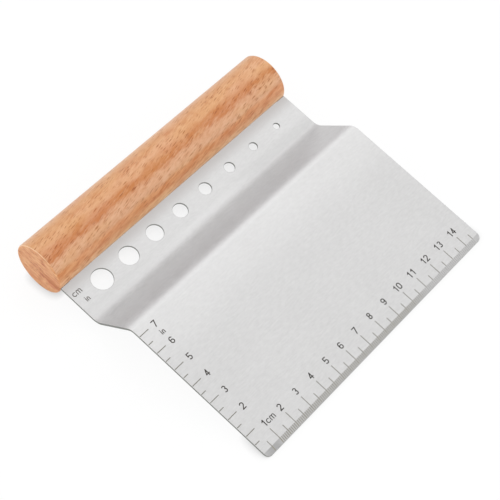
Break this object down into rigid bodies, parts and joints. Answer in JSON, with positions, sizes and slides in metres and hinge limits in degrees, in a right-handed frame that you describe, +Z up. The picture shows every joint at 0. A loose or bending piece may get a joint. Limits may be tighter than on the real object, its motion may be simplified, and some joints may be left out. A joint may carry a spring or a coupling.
{
  "type": "dough scraper",
  "caption": "Bench scraper: a bent steel sheet with holes, a ground edge and printed centimetre scales, glued in the slot of a round wooden handle.",
  "frame": {"origin": "middle of the scraper's outline on the table that it lies on", "axes": "+X along the handle, +Y from the scraping edge to the handle, +Z up from the table"},
  "size_m": [0.15, 0.1424, 0.026],
  "materials": {
    "blade_steel": "stainless steel brushed along the handle",
    "handle_wood": "steamed beech, sanded and lightly oiled",
    "glue_resin": "hard clear-amber epoxy glue",
    "filler_wood": "wood-coloured filler, sanded flush",
    "scale_ink": "thin grey-brown printed or etched marks"
  },
  "bodies": {
    "root": {"blade": "blade_steel", "handle": "handle_wood", "glue": "glue_resin", "slot_filler_left": "filler_wood", "slot_filler_right": "filler_wood", "edge_scale_lines": "scale_ink", "bevel_scale_lines": "scale_ink", "edge_scale_figures": "scale_ink", "side_scale_lines": "scale_ink", "side_scale_figures": "scale_ink", "strip_unit_marks": "scale_ink"}
  },
  "joints": []
}
